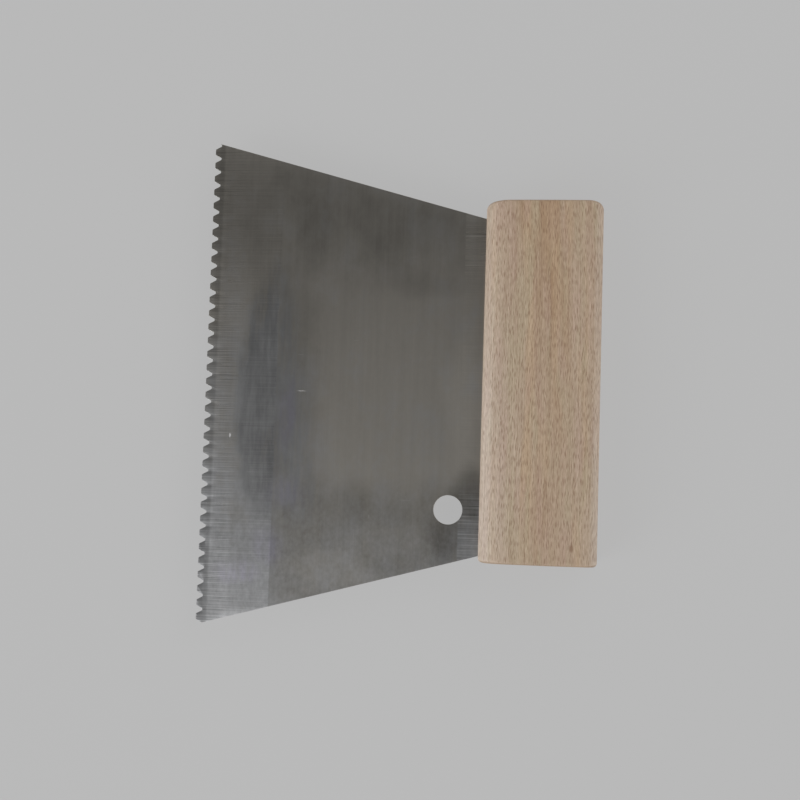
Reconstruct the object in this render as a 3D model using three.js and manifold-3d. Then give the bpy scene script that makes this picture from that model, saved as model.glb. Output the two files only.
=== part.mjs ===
// Notched trowel (adhesive spreader): a toothed sheet-steel blade, glued and nailed into the slot of a
// beech handle.
//
// Millimetres. +Z is up, +Y runs along the handle, and +X points from the teeth towards the handle's back.
// The origin is the centre of the handle's flat underside. The blade lies level, half way up the handle.

import * as THREE from 'three';
import { mergeVertices } from 'three/addons/utils/BufferGeometryUtils.js';
import Module from 'manifold-3d';

const wasm = await Module();
wasm.setup();

// --- Driving dimensions --------------------------------------------------------------------------

// Handle: a moulded bar with rounded long edges, cut to length and sanded.
const HANDLE_LENGTH = 127.2;
const HANDLE_WIDTH = 41;
const HANDLE_HEIGHT = 20;
const FRONT_EDGE_RADIUS = 7;
const BACK_EDGE_RADIUS = 3.5;
const END_EDGE_RADIUS = 0.9;
const END_CROWN = 0.1;
// Plan radii of the hand-sanded corners, at the +Y (north) and -Y (south) ends.
const CORNER_RADIUS = { northFront: 2.6, northBack: 3.2, southFront: 1.6, southBack: 1.4 };

// Blade: a symmetric trapezoid, widest at the teeth, whose narrow end is a tang inside the handle.
const BLADE_THICKNESS = 1;
const BLADE_REACH = 101;
const BLADE_WIDTH_AT_HANDLE = 120.2;
const BLADE_TAPER_ANGLE = THREE.MathUtils.degToRad(15.55);
const BLADE_OFFSET = -1.45;
const TANG_DEPTH = 20;
// The faces are ground thinner over a band behind the teeth.
const GRIND_LENGTH = 26.3;
const TIP_THICKNESS = 0.7;

// Teeth: the trapezoidal pattern for floor adhesives, with 3 mm gaps, 2 mm lands and 55 degree notches.
const TOOTH_PITCH = 5;
const NOTCH_WIDTH = 3;
const NOTCH_DEPTH = 2.25;
const NOTCH_ANGLE = THREE.MathUtils.degToRad(55);
const NOTCH_COUNT = 36;
const FIRST_NOTCH = 85.68;

// Hole for hanging the tool up.
const HANG_HOLE_DIAMETER = 10.3;
const HANG_HOLE_FROM_HANDLE = 11.2;
const HANG_HOLE_SIDE = -45.7;

// Slot for the tang, sawn along the whole handle, and the adhesive that fills it round the tang.
const SLOT_HEIGHT = 1.6;
const SLOT_DEPTH = 21.7;
const GLUE_GAP = 0.05;
const GLUE_RECESS = 0.4;
const GLUE_MARGIN = 1.5;

// Brads, driven through the tang from the underside.
const BRAD_COUNT = 3;
const BRAD_SPACING = 40;
const BRAD_FROM_HANDLE_FRONT = 11;
const BRAD_HEAD_RADIUS = 1.6;
const BRAD_HEAD_HEIGHT = 0.7;
const BRAD_SHANK_RADIUS = 0.85;
const BRAD_LENGTH = 16;
const BRAD_POINT_LENGTH = 2.5;
const BRAD_SINK = 0.1;
const BRAD_CLEARANCE = 0.15;

// Places worked out from the dimensions.
const HANDLE_FRONT = -HANDLE_WIDTH / 2;
const MID_HEIGHT = HANDLE_HEIGHT / 2;
const TIP_X = HANDLE_FRONT - BLADE_REACH;
const TANG_END_X = HANDLE_FRONT + TANG_DEPTH;
const BRAD_X = HANDLE_FRONT + BRAD_FROM_HANDLE_FRONT;

// Fineness of the round surfaces, and how far a cutter reaches past what it cuts.
const ARC_STEPS = 10;
const HOLE_STEPS = 48;
const BRAD_STEPS = 20;
const PAST = 2;

// --- Solids --------------------------------------------------------------------------------------

// A closed three.js geometry as a solid that can be cut and joined.
function solid(geometry) {
  const bare = geometry.clone();
  bare.deleteAttribute('normal');
  bare.deleteAttribute('uv');
  const merged = mergeVertices(bare, 1e-4);
  return new wasm.Manifold(new wasm.Mesh({
    numProp: 3,
    vertProperties: merged.attributes.position.array,
    triVerts: new Uint32Array(merged.index.array),
  }));
}

// A named mesh of a solid.
function part(name, body, material) {
  const mesh = body.getMesh();
  const geometry = new THREE.BufferGeometry();
  geometry.setAttribute('position', new THREE.BufferAttribute(mesh.vertProperties, 3));
  geometry.setIndex(new THREE.BufferAttribute(mesh.triVerts, 1));
  geometry.computeVertexNormals();
  const object = new THREE.Mesh(geometry, material);
  object.name = name;
  return object;
}

// A plan outline raised from one height to another.
function plate(outline, low, high) {
  const geometry = new THREE.ExtrudeGeometry(outline, { depth: high - low, bevelEnabled: false });
  geometry.translate(0, 0, low);
  return solid(geometry);
}

// An outline drawn in X and Z, run along Y from one end to the other.
function rail(outline, length, centre = 0) {
  const geometry = new THREE.ExtrudeGeometry(outline, {
    depth: length,
    bevelEnabled: false,
    curveSegments: ARC_STEPS,
  });
  geometry.rotateX(Math.PI / 2);
  geometry.translate(0, centre + length / 2, 0);
  return solid(geometry);
}

function rectangle(x0, y0, x1, y1) {
  const outline = new THREE.Shape();
  outline.moveTo(x0, y0);
  outline.lineTo(x1, y0);
  outline.lineTo(x1, y1);
  outline.lineTo(x0, y1);
  outline.closePath();
  return outline;
}

function polygon(points) {
  return new THREE.Shape(points.map(([x, y]) => new THREE.Vector2(x, y)));
}

// An upright round bar, used to cut a hole.
function drill(x, y, radius, low, high, steps) {
  const geometry = new THREE.CylinderGeometry(radius, radius, high - low, steps);
  geometry.rotateX(Math.PI / 2);
  geometry.translate(x, y, (low + high) / 2);
  return solid(geometry);
}

// Each brad's place along the tang, centred on the blade.
function bradPlaces() {
  const middle = (BRAD_COUNT - 1) / 2;
  return Array.from({ length: BRAD_COUNT }, (_, i) => BLADE_OFFSET + (i - middle) * BRAD_SPACING);
}

// Round holes for the brads' shanks.
function cutBradHoles(body, low, high) {
  return bradPlaces().reduce(
    (cut, y) => cut.subtract(drill(BRAD_X, y, BRAD_SHANK_RADIUS + BRAD_CLEARANCE, low, high, BRAD_STEPS)),
    body,
  );
}

// --- Blade ---------------------------------------------------------------------------------------

// Half the blade's width at a place along its reach.
function bladeHalfWidth(x) {
  return BLADE_WIDTH_AT_HANDLE / 2 + (HANDLE_FRONT - x) * Math.tan(BLADE_TAPER_ANGLE);
}

// The blade's trapezoid between two places along its reach, wider by a margin on both sides.
function bladeOutline(x0, x1, margin = 0) {
  const side = (x, sign) => [x, BLADE_OFFSET + sign * (bladeHalfWidth(x) + margin)];
  return polygon([side(x0, -1), side(x1, -1), side(x1, 1), side(x0, 1)]);
}

// The blade seen from its end: thinner at the teeth, full thickness from the end of the ground band on.
function grindOutline() {
  const grindEnd = TIP_X + GRIND_LENGTH;
  const full = BLADE_THICKNESS / 2;
  const thin = TIP_THICKNESS / 2;
  return polygon([
    [TIP_X, MID_HEIGHT - thin],
    [grindEnd, MID_HEIGHT - full],
    [TANG_END_X, MID_HEIGHT - full],
    [TANG_END_X, MID_HEIGHT + full],
    [grindEnd, MID_HEIGHT + full],
    [TIP_X, MID_HEIGHT + thin],
  ]);
}

// One trapezoidal notch, drawn a little past the tips so that it cuts cleanly.
function notchOutline(y) {
  const slope = Math.tan(NOTCH_ANGLE / 2);
  const root = NOTCH_WIDTH / 2 - NOTCH_DEPTH * slope;
  const past = 0.5;
  const mouth = NOTCH_WIDTH / 2 + past * slope;
  return polygon([
    [TIP_X - past, y - mouth],
    [TIP_X + NOTCH_DEPTH, y - root],
    [TIP_X + NOTCH_DEPTH, y + root],
    [TIP_X - past, y + mouth],
  ]);
}

function makeBlade(material) {
  const low = MID_HEIGHT - PAST;
  const high = MID_HEIGHT + PAST;
  const longest = 2 * bladeHalfWidth(TIP_X) + 2 * PAST;
  const sheet = plate(bladeOutline(TIP_X, TANG_END_X), low, high);
  let blade = sheet.intersect(rail(grindOutline(), longest, BLADE_OFFSET));
  for (let i = 0; i < NOTCH_COUNT; i++) {
    blade = blade.subtract(plate(notchOutline(FIRST_NOTCH - i * TOOTH_PITCH), low, high));
  }
  const holeX = HANDLE_FRONT - HANG_HOLE_FROM_HANDLE;
  blade = blade.subtract(drill(holeX, HANG_HOLE_SIDE, HANG_HOLE_DIAMETER / 2, low, high, HOLE_STEPS));
  return part('blade', cutBradHoles(blade, low, high), material);
}

// --- Handle --------------------------------------------------------------------------------------

// The handle from above: four rounded corners and slightly bowed ends.
function handlePlan() {
  const x = HANDLE_WIDTH / 2;
  const y = HANDLE_LENGTH / 2 - END_CROWN;
  const r = CORNER_RADIUS;
  const quarter = Math.PI / 2;
  const outline = new THREE.Shape();
  outline.moveTo(-x + r.southFront, -y);
  outline.quadraticCurveTo(0, -y - 2 * END_CROWN, x - r.southBack, -y);
  outline.absarc(x - r.southBack, -y + r.southBack, r.southBack, -quarter, 0, false);
  outline.absarc(x - r.northBack, y - r.northBack, r.northBack, 0, quarter, false);
  outline.quadraticCurveTo(0, y + 2 * END_CROWN, -x + r.northFront, y);
  outline.absarc(-x + r.northFront, y - r.northFront, r.northFront, quarter, 2 * quarter, false);
  outline.absarc(-x + r.southFront, -y + r.southFront, r.southFront, 2 * quarter, 3 * quarter, false);
  return outline;
}

// The handle seen from its end: both front edges and both back edges rounded alike.
function handleSection() {
  const x = HANDLE_WIDTH / 2;
  const top = HANDLE_HEIGHT;
  const f = FRONT_EDGE_RADIUS;
  const b = BACK_EDGE_RADIUS;
  const quarter = Math.PI / 2;
  const outline = new THREE.Shape();
  outline.absarc(x - b, b, b, -quarter, 0, false);
  outline.absarc(x - b, top - b, b, 0, quarter, false);
  outline.absarc(-x + f, top - f, f, quarter, 2 * quarter, false);
  outline.absarc(-x + f, f, f, 2 * quarter, 3 * quarter, false);
  outline.closePath();
  return outline;
}

// The plan raised to the handle's height, with its end edges eased.
function easedBar() {
  const geometry = new THREE.ExtrudeGeometry(handlePlan(), {
    depth: HANDLE_HEIGHT - 2 * END_EDGE_RADIUS,
    bevelEnabled: true,
    bevelThickness: END_EDGE_RADIUS,
    bevelSize: END_EDGE_RADIUS,
    bevelOffset: -END_EDGE_RADIUS,
    bevelSegments: 4,
    curveSegments: ARC_STEPS,
  });
  geometry.translate(0, 0, END_EDGE_RADIUS);
  return solid(geometry);
}

function makeHandle(material) {
  const slotEnd = HANDLE_FRONT + SLOT_DEPTH;
  const slot = rectangle(
    HANDLE_FRONT - PAST, MID_HEIGHT - SLOT_HEIGHT / 2,
    slotEnd, MID_HEIGHT + SLOT_HEIGHT / 2,
  );
  const length = HANDLE_LENGTH + 2 * PAST;
  let handle = easedBar().intersect(rail(handleSection(), length)).subtract(rail(slot, length));
  handle = cutBradHoles(handle, -PAST, BRAD_SINK + BRAD_LENGTH + BRAD_CLEARANCE);
  const pocketTop = BRAD_SINK + BRAD_HEAD_HEIGHT + BRAD_CLEARANCE;
  const pocketRadius = BRAD_HEAD_RADIUS + BRAD_CLEARANCE;
  for (const y of bradPlaces()) {
    handle = handle.subtract(drill(BRAD_X, y, pocketRadius, -PAST, pocketTop, BRAD_STEPS));
  }
  return part('handle', handle, material);
}

// --- Fixings -------------------------------------------------------------------------------------

// The adhesive wraps the tang on both faces, both sides and behind, and is open at the slot's mouth.
function makeSlotAdhesive(material) {
  const outer = SLOT_HEIGHT / 2 - GLUE_GAP;
  const inner = BLADE_THICKNESS / 2 + GLUE_GAP;
  const mouth = HANDLE_FRONT + GLUE_RECESS;
  const back = HANDLE_FRONT + SLOT_DEPTH - GLUE_GAP;
  const fill = plate(bladeOutline(mouth, back, GLUE_MARGIN), MID_HEIGHT - outer, MID_HEIGHT + outer);
  const room = plate(
    bladeOutline(mouth - PAST, TANG_END_X + GLUE_GAP, GLUE_GAP),
    MID_HEIGHT - inner, MID_HEIGHT + inner,
  );
  return part('slot_adhesive', cutBradHoles(fill.subtract(room), 0, HANDLE_HEIGHT), material);
}

// A flat-headed wire brad standing head down, so that its point is at the top.
function makeBrad(name, y, material) {
  const head = BRAD_SINK;
  const neck = head + BRAD_HEAD_HEIGHT;
  const point = head + BRAD_LENGTH;
  const profile = [
    [0, head],
    [BRAD_HEAD_RADIUS, head],
    [BRAD_HEAD_RADIUS, head + BRAD_HEAD_HEIGHT / 2],
    [BRAD_SHANK_RADIUS, neck],
    [BRAD_SHANK_RADIUS, point - BRAD_POINT_LENGTH],
    [0, point],
  ].map(([radius, height]) => new THREE.Vector2(radius, height));
  const geometry = new THREE.LatheGeometry(profile, BRAD_STEPS);
  geometry.rotateX(Math.PI / 2);
  geometry.translate(BRAD_X, y, 0);
  return part(name, solid(geometry), material);
}

// --- Materials -----------------------------------------------------------------------------------

function groundSteel() {
  return new THREE.MeshStandardMaterial({ color: 0x6b6966, roughness: 0.4, metalness: 1 });
}

function beech() {
  return new THREE.MeshStandardMaterial({ color: 0xa98f77, roughness: 0.65, metalness: 0 });
}

function driedGlue() {
  return new THREE.MeshStandardMaterial({ color: 0xb9a06a, roughness: 0.45, metalness: 0 });
}

function brightWire() {
  return new THREE.MeshStandardMaterial({ color: 0x8b8a87, roughness: 0.35, metalness: 1 });
}

// --- Assembly ------------------------------------------------------------------------------------

const trowel = new THREE.Group();
trowel.add(makeBlade(groundSteel()));
trowel.add(makeHandle(beech()));
trowel.add(makeSlotAdhesive(driedGlue()));
bradPlaces().forEach((y, i) => trowel.add(makeBrad(`brad_${i + 1}`, y, brightWire())));

export default trowel;
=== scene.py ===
"""Notched trowel: a toothed steel blade in a beech handle, shown from above on a pale floor.

Metres, in the frame of the CAD model: +X from the teeth to the handle's back, +Y along the handle, +Z up.
"""

import math

import bmesh
import bpy
from mathutils import Matrix, Vector, noise


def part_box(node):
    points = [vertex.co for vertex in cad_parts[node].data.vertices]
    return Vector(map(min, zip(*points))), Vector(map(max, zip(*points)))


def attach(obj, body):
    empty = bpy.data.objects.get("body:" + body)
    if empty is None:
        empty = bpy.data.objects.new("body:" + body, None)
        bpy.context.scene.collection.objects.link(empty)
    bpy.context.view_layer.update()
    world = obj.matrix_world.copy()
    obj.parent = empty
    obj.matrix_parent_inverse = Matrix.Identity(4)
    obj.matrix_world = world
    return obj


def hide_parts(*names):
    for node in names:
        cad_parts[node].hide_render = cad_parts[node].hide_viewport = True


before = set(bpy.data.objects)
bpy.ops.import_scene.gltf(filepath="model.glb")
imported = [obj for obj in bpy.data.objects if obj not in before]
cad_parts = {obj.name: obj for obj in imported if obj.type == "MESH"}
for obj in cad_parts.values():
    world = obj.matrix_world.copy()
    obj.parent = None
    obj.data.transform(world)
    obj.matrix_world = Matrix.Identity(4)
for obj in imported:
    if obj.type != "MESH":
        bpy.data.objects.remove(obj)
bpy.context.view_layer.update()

MM = 0.001

# --- Places from the frame, and the CAD model's driving dimensions ---

HANDLE_LOW, HANDLE_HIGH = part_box("handle")
BLADE_LOW, BLADE_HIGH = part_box("blade")
HANDLE_FRONT = HANDLE_LOW.x
HANDLE_BACK = HANDLE_HIGH.x
HANDLE_HALF = HANDLE_HIGH.y
HANDLE_TOP = HANDLE_HIGH.z
BLADE_MIDDLE = (BLADE_LOW.z + BLADE_HIGH.z) / 2
BLADE_THICKNESS = BLADE_HIGH.z - BLADE_LOW.z
TIP_X = BLADE_LOW.x
TANG_END = BLADE_HIGH.x

BLADE_SIDE_SHIFT = -1.45 * MM
BLADE_HALF_AT_HANDLE = 60.1 * MM
BLADE_TAPER = math.tan(math.radians(15.55))
GRIND_LENGTH = 26.3 * MM
TIP_THICKNESS = 0.7 * MM
TOOTH_PITCH = 5 * MM
NOTCH_HALF = 1.5 * MM
NOTCH_DEPTH = 2.25 * MM
NOTCH_FLANK = math.tan(math.radians(27.5))
NOTCH_COUNT = 36
FIRST_NOTCH = 85.68 * MM
HANG_HOLE = Vector((HANDLE_FRONT - 11.2 * MM, -45.7 * MM))
HANG_HOLE_RADIUS = 5.15 * MM

FRONT_EDGE_RADIUS = 7 * MM
BACK_EDGE_RADIUS = 3.5 * MM
END_EDGE_RADIUS = 0.9 * MM
END_CROWN = 0.1 * MM
NORTH_CORNERS = (2.6 * MM, 3.2 * MM)
SOUTH_CORNERS = (1.6 * MM, 1.4 * MM)
SLOT_HEIGHT = 1.6 * MM
SLOT_END = HANDLE_FRONT + 21.7 * MM

BRADS = ("brad_1", "brad_2", "brad_3")
BRAD_HEAD_RADIUS = 1.6 * MM
BRAD_HEAD_HEIGHT = 0.7 * MM
BRAD_SHANK_RADIUS = 0.85 * MM
BRAD_POINT_LENGTH = 2.5 * MM
BRAD_CLEARANCE = 0.15 * MM


# --- Mesh helpers ---

# Edges that turn by more than this many degrees stay crisp.
WOOD_CREASE = 35
SHEET_CREASE = 14
WIRE_CREASE = 50
# An arc at an outline's corner takes at most this share of the line on either side.
CORNER_SHARE = 0.45
CORNER_STEPS = 5
CIRCLE_STEPS = 64


def add_object(name, mesh):
    piece = bpy.data.objects.new(name, mesh)
    bpy.context.scene.collection.objects.link(piece)
    return piece


def finish_piece(piece, node, material, crease):
    """Smooth shading with crisp arrises, the material, and the piece's place in the frame."""
    piece.data.shade_smooth()
    piece.data.set_sharp_from_angle(angle=math.radians(crease))
    piece.data.materials.clear()
    piece.data.materials.append(material)
    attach(piece, "root")
    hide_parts(node)


def mesh_from(bm, name):
    mesh = bpy.data.meshes.new(name)
    bm.normal_update()
    bm.to_mesh(mesh)
    bm.free()
    return mesh


def rounded(points, radius):
    """A closed outline with each corner swapped for a short arc, as punching and deburring leave it."""
    made = []
    count = len(points)
    for i, corner in enumerate(points):
        to_last = points[i - 1] - corner
        to_next = points[(i + 1) % count] - corner
        reach = min(radius, CORNER_SHARE * to_last.length, CORNER_SHARE * to_next.length)
        start = corner + to_last.normalized() * reach
        end = corner + to_next.normalized() * reach
        for step in range(CORNER_STEPS + 1):
            t = step / CORNER_STEPS
            made.append(start * (1 - t) ** 2 + corner * 2 * t * (1 - t) + end * t ** 2)
    return made


def circle(centre, radius, steps=CIRCLE_STEPS):
    turn = [2 * math.pi * i / steps for i in range(steps)]
    return [centre + Vector((math.cos(a), math.sin(a))) * radius for a in turn]


def box_middle(node):
    low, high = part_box(node)
    return (low + high) / 2


# --- Blade ---

BLADE_EDGE_RADIUS = 0.09 * MM
BLADE_EDGE_STEPS = 2
TOOTH_CORNER_RADIUS = 0.3 * MM
BRAD_HOLE_STEPS = 24
# The flat faces are cut into cells, so that the sheet can thin and wave. It lies flat near the handle.
SHEET_CELL = 4 * MM
SHEET_WAVE_HEIGHT = 0.05 * MM
SHEET_WAVE_LENGTH = 55 * MM
SHEET_CALM_LENGTH = 20 * MM
WELD_DISTANCE = 1e-6
CUT_TOLERANCE = 1e-7


def blade_side(x, sign):
    """A point on one slanted side of the blade."""
    half = BLADE_HALF_AT_HANDLE + (HANDLE_FRONT - x) * BLADE_TAPER
    return Vector((x, BLADE_SIDE_SHIFT + sign * half))


def flank_meets_side(notch_y, sign):
    """Where a notch's +Y flank runs into the blade's slanted side: sign 1 for the +Y side, -1 for -Y."""
    side = blade_side(TIP_X, sign)
    gap = abs(side.y - (notch_y + NOTCH_HALF))
    return blade_side(TIP_X + gap / (NOTCH_FLANK - sign * BLADE_TAPER), sign)


def blade_outline():
    """The trapezoid with its notches, from the north corner down the teeth and back round the tang."""
    root_x = TIP_X + NOTCH_DEPTH
    root_half = NOTCH_HALF - NOTCH_DEPTH * NOTCH_FLANK
    notches = [FIRST_NOTCH - i * TOOTH_PITCH for i in range(NOTCH_COUNT)]
    points = [flank_meets_side(notches[0], 1)]
    for y in notches[:-1]:
        points.append(Vector((root_x, y + root_half)))
        points.append(Vector((root_x, y - root_half)))
        points.append(Vector((TIP_X, y - NOTCH_HALF)))
        points.append(Vector((TIP_X, y - TOOTH_PITCH + NOTCH_HALF)))
    points.append(flank_meets_side(notches[-1], -1))
    points.append(blade_side(TANG_END, -1))
    points.append(blade_side(TANG_END, 1))
    return rounded(points, TOOTH_CORNER_RADIUS)


def filled_sheet(outlines, thickness, edge_radius):
    """A flat sheet with eased edges, from its outline and the outlines of its holes."""
    curve = bpy.data.curves.new("sheet_outline", "CURVE")
    curve.dimensions = "2D"
    curve.fill_mode = "BOTH"
    curve.extrude = thickness / 2 - edge_radius
    curve.bevel_depth = edge_radius
    curve.bevel_resolution = BLADE_EDGE_STEPS
    curve.offset = -edge_radius
    for outline in outlines:
        spline = curve.splines.new("POLY")
        spline.points.add(len(outline) - 1)
        for point, place in zip(spline.points, outline):
            point.co = (place.x, place.y, 0, 1)
        spline.use_cyclic_u = True
    holder = add_object("sheet_outline", curve)
    view = bpy.context.evaluated_depsgraph_get()
    mesh = bpy.data.meshes.new_from_object(holder.evaluated_get(view))
    bpy.data.objects.remove(holder)
    bpy.data.curves.remove(curve)
    bm = bmesh.new()
    bm.from_mesh(mesh)
    bpy.data.meshes.remove(mesh)
    bmesh.ops.remove_doubles(bm, verts=bm.verts, dist=WELD_DISTANCE)
    return bm


def cut_into_cells(bm, normal, places):
    for place in places:
        geometry = bm.verts[:] + bm.edges[:] + bm.faces[:]
        bmesh.ops.bisect_plane(
            bm, geom=geometry, dist=CUT_TOLERANCE, plane_co=normal * place, plane_no=normal,
        )


def spaced(low, high, step):
    count = int((high - low) / step)
    return [low + step * (i + 0.5) for i in range(count)]


def ground_share(x):
    """How much of the full thickness is left at a place behind the teeth."""
    thin = TIP_THICKNESS / BLADE_THICKNESS
    return thin + (1 - thin) * min(1.0, max(0.0, (x - TIP_X) / GRIND_LENGTH))


def make_blade(material):
    outlines = [blade_outline(), circle(HANG_HOLE, HANG_HOLE_RADIUS)]
    brad_hole_radius = BRAD_SHANK_RADIUS + BRAD_CLEARANCE
    for node in BRADS:
        outlines.append(circle(box_middle(node).to_2d(), brad_hole_radius, BRAD_HOLE_STEPS))
    bm = filled_sheet(outlines, BLADE_THICKNESS, BLADE_EDGE_RADIUS)
    grind_end = TIP_X + GRIND_LENGTH
    cut_into_cells(bm, Vector((1, 0, 0)), [grind_end] + spaced(TIP_X + SHEET_CELL, HANDLE_FRONT, SHEET_CELL))
    cut_into_cells(bm, Vector((0, 1, 0)), spaced(BLADE_LOW.y, BLADE_HIGH.y, SHEET_CELL))
    for vertex in bm.verts:
        x, y, z = vertex.co
        calm = min(1.0, max(0.0, (HANDLE_FRONT - x) / SHEET_CALM_LENGTH))
        wave = noise.noise(Vector((x, y, 0)) / SHEET_WAVE_LENGTH) * SHEET_WAVE_HEIGHT
        vertex.co.z = BLADE_MIDDLE + z * ground_share(x) + wave * calm
    piece = add_object("blade_sheet", mesh_from(bm, "blade_sheet"))
    finish_piece(piece, "blade", material, SHEET_CREASE)


# --- Handle ---

ARC_STEPS = 10
END_RINGS = 9
BODY_RINGS = 24
WIDE_FACE_STEPS = 8
BACK_FACE_STEPS = 4
SLOT_STEPS = 4
CROWN_DEPTH = 8 * MM
# A depth that is clear of both ends' corners and crown.
CLEAR_DEPTH = 1.0
POCKET_SEGMENTS = 32
CUTTER_OVERLAP = 1 * MM


def arc(centre, radius, start, end):
    """Points of an arc in X and Z, angles in quarter turns."""
    made = []
    for i in range(ARC_STEPS + 1):
        angle = (start + (end - start) * i / ARC_STEPS) * math.pi / 2
        made.append((centre[0] + radius * math.cos(angle), centre[1] + radius * math.sin(angle)))
    return made


def run(a, b, steps):
    """Evenly spaced points from a to b, both left out."""
    return [(a[0] + (b[0] - a[0]) * i / steps, a[1] + (b[1] - a[1]) * i / steps) for i in range(1, steps)]


def handle_section(front, back, low, high, inset):
    """One cross-section: a rounded bar with the slot's walls, always with the same number of points."""
    front_radius = FRONT_EDGE_RADIUS - inset
    back_radius = BACK_EDGE_RADIUS - inset
    slot_low = BLADE_MIDDLE - SLOT_HEIGHT / 2
    slot_high = BLADE_MIDDLE + SLOT_HEIGHT / 2
    upper_front = arc((front + front_radius, high - front_radius), front_radius, 2, 1)
    upper_back = arc((back - back_radius, high - back_radius), back_radius, 1, 0)
    lower_back = arc((back - back_radius, low + back_radius), back_radius, 0, -1)
    lower_front = arc((front + front_radius, low + front_radius), front_radius, -1, -2)
    points = [(SLOT_END, slot_high)]
    points += run((SLOT_END, slot_high), (front, slot_high), SLOT_STEPS)
    points += [(front, slot_high)] + upper_front
    points += run(upper_front[-1], upper_back[0], WIDE_FACE_STEPS) + upper_back
    points += run(upper_back[-1], lower_back[0], BACK_FACE_STEPS) + lower_back
    points += run(lower_back[-1], lower_front[0], WIDE_FACE_STEPS) + lower_front
    points += [(front, slot_low)] + run((front, slot_low), (SLOT_END, slot_low), SLOT_STEPS)
    points += [(SLOT_END, slot_low)]
    return points


def corner_inset(depth, radius):
    """How far a rounded corner draws the side in, at a depth behind the end."""
    if depth >= radius:
        return 0.0
    return radius - math.sqrt(radius * radius - (radius - depth) ** 2)


def ring_depths():
    """Distances behind an end where cross-sections are set, closest where the corners turn."""
    longest = max(NORTH_CORNERS + SOUTH_CORNERS)
    steps = range(END_RINGS + 1)
    fine = [END_EDGE_RADIUS * (1 - math.cos(math.pi / 2 * i / END_RINGS)) for i in steps]
    coarse = [END_EDGE_RADIUS + (longest - END_EDGE_RADIUS) * i / END_RINGS for i in steps[1:]]
    return fine + coarse


def handle_rings():
    """Each ring's place along the handle, its depth behind the nearer end, and that end's corner radii."""
    depths = ring_depths()
    south = [(-HANDLE_HALF + d, d, SOUTH_CORNERS) for d in depths]
    north = [(HANDLE_HALF - d, d, NORTH_CORNERS) for d in reversed(depths)]
    first, last = south[-1][0], north[0][0]
    body = [first + (last - first) * i / BODY_RINGS for i in range(1, BODY_RINGS)]
    return south + [(y, CLEAR_DEPTH, NORTH_CORNERS) for y in body] + north


def handle_ring(bm, y, depth, corners):
    """The vertices of one cross-section, drawn in at the rounded corners and bowed by the end's crown."""
    drawn_in = corner_inset(depth, END_EDGE_RADIUS)
    front = HANDLE_FRONT + corner_inset(depth, corners[0])
    back = HANDLE_BACK - corner_inset(depth, corners[1])
    half_width = (HANDLE_BACK - HANDLE_FRONT) / 2
    fade = max(0.0, 1 - depth / CROWN_DEPTH)
    ring = []
    for x, z in handle_section(front, back, drawn_in, HANDLE_TOP - drawn_in, drawn_in):
        bow = END_CROWN * fade * min(1.0, (x / half_width) ** 2)
        ring.append(bm.verts.new((x, y - math.copysign(bow, y), z)))
    return ring


def make_handle(material):
    bm = bmesh.new()
    rings = [handle_ring(bm, *place) for place in handle_rings()]
    count = len(rings[0])
    for lower, upper in zip(rings, rings[1:]):
        for i in range(count):
            j = (i + 1) % count
            bm.faces.new((lower[i], lower[j], upper[j], upper[i]))
    bm.faces.new(list(reversed(rings[0])))
    bm.faces.new(rings[-1])
    bmesh.ops.recalc_face_normals(bm, faces=bm.faces)
    piece = add_object("handle_bar", mesh_from(bm, "handle_bar"))
    for node in BRADS:
        cut_brad_pocket(piece, node)
    finish_piece(piece, "handle", material, WOOD_CREASE)


def cut_brad_pocket(piece, node):
    """A shallow round pocket for a brad's head, and the shank's hole past the slot to its point."""
    centre = box_middle(node)
    head = (BRAD_HEAD_RADIUS + BRAD_CLEARANCE, BRAD_HEAD_HEIGHT + 2 * BRAD_CLEARANCE)
    shank = (BRAD_SHANK_RADIUS + BRAD_CLEARANCE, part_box(node)[1].z + BRAD_CLEARANCE)
    bm = bmesh.new()
    for radius, top in (head, shank):
        height = top + CUTTER_OVERLAP
        bmesh.ops.create_cone(
            bm, cap_ends=True, segments=POCKET_SEGMENTS, radius1=radius, radius2=radius, depth=height,
            matrix=Matrix.Translation((centre.x, centre.y, top - height / 2)),
        )
    cutter = add_object("pocket_cutter", mesh_from(bm, "pocket_cutter"))
    cut = piece.modifiers.new("pocket", "BOOLEAN")
    cut.operation = "DIFFERENCE"
    cut.solver = "EXACT"
    cut.use_self = True
    cut.object = cutter
    view = bpy.context.evaluated_depsgraph_get()
    mesh = bpy.data.meshes.new_from_object(piece.evaluated_get(view))
    piece.modifiers.clear()
    piece.data = mesh
    bpy.data.objects.remove(cutter)


# --- Brads ---

BRAD_SEGMENTS = 32
# The head's profile from its middle to its rim, and the shank's from the head to its point.
HEAD_DOME = 0.08 * MM
HEAD_DOME_HALFWAY = 0.02 * MM
HEAD_RIM = 0.15 * MM
HEAD_RIM_STEPS = 4
HEAD_RIM_TOP = 0.4 * MM
NECK_FLARE = 0.1 * MM
POINT_TAPER = 0.3
POINT_TIP_LENGTH = 0.5 * MM


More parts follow.
